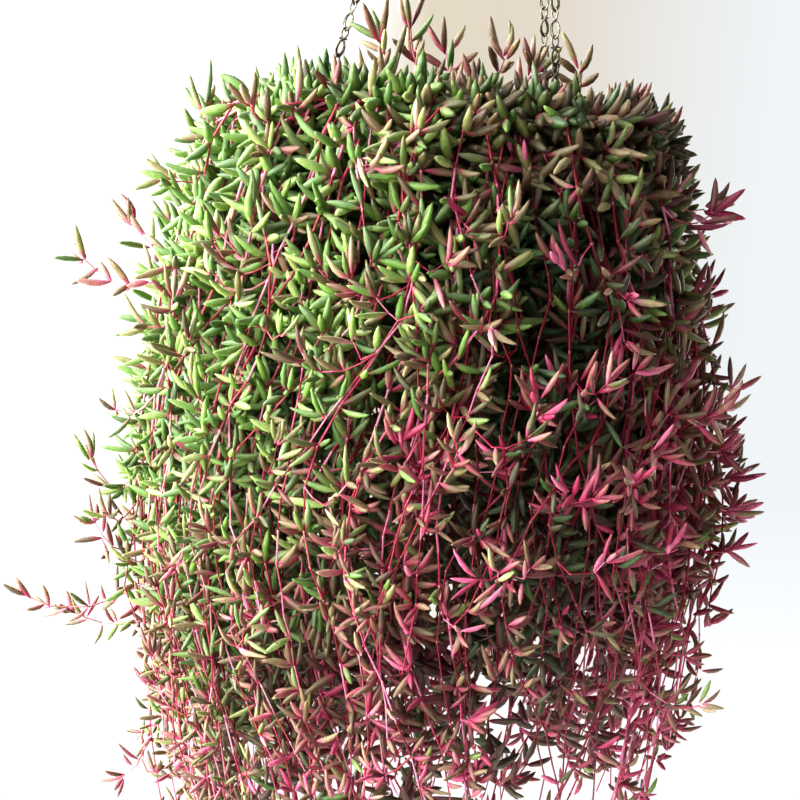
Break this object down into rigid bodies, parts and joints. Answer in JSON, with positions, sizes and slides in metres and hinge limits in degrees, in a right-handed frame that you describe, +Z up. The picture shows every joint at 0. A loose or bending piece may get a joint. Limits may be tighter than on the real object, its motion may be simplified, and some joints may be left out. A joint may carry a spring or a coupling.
{
  "type": "hanging pot of trailing pickle-leaved succulent",
  "caption": "Hanging pot on wire chains with a dense trailing succulent: slim pointed green leaves and ruby stems that arch over the rim and hang down well below the pot.",
  "frame": {"origin": "seat of the hook, on the inner side of the top of its bend, where the whole object hangs", "axes": "+Z up along the line that it hangs on; -X towards the light that the plant leans to and one of the chains"},
  "size_m": [0.5274, 0.5165, 1.2165],
  "materials": {
    "leaf_green": "satin, fleshy",
    "pot_plastic": "matt",
    "potting_soil": "rough, moist",
    "zinc_steel": "weathered zinc"
  },
  "bodies": {
    "root": {"hook": "zinc_steel", "chain_1": "zinc_steel", "chain_2": "zinc_steel", "chain_3": "zinc_steel", "clip_1": "zinc_steel", "clip_2": "zinc_steel", "clip_3": "zinc_steel", "pot": "pot_plastic", "soil": "potting_soil", "trailing_bundle_01": "leaf_green", "trailing_bundle_02": "leaf_green", "trailing_bundle_03": "leaf_green", "trailing_bundle_04": "leaf_green", "trailing_bundle_05": "leaf_green", "trailing_bundle_06": "leaf_green", "trailing_bundle_07": "leaf_green", "trailing_bundle_08": "leaf_green", "trailing_bundle_09": "leaf_green", "trailing_bundle_10": "leaf_green", "trailing_bundle_11": "leaf_green", "trailing_bundle_12": "leaf_green", "trailing_bundle_13": "leaf_green", "trailing_bundle_14": "leaf_green", "trailing_bundle_15": "leaf_green", "trailing_bundle_16": "leaf_green", "trailing_bundle_17": "leaf_green", "trailing_bundle_18": "leaf_green", "crown_tuft_01": "leaf_green", "crown_tuft_02": "leaf_green", "crown_tuft_03": "leaf_green", "crown_tuft_04": "leaf_green", "crown_tuft_05": "leaf_green", "crown_tuft_06": "leaf_green", "crown_tuft_07": "leaf_green", "crown_tuft_08": "leaf_green", "crown_tuft_09": "leaf_green", "crown_tuft_10": "leaf_green", "crown_tuft_11": "leaf_green"}
  },
  "joints": []
}
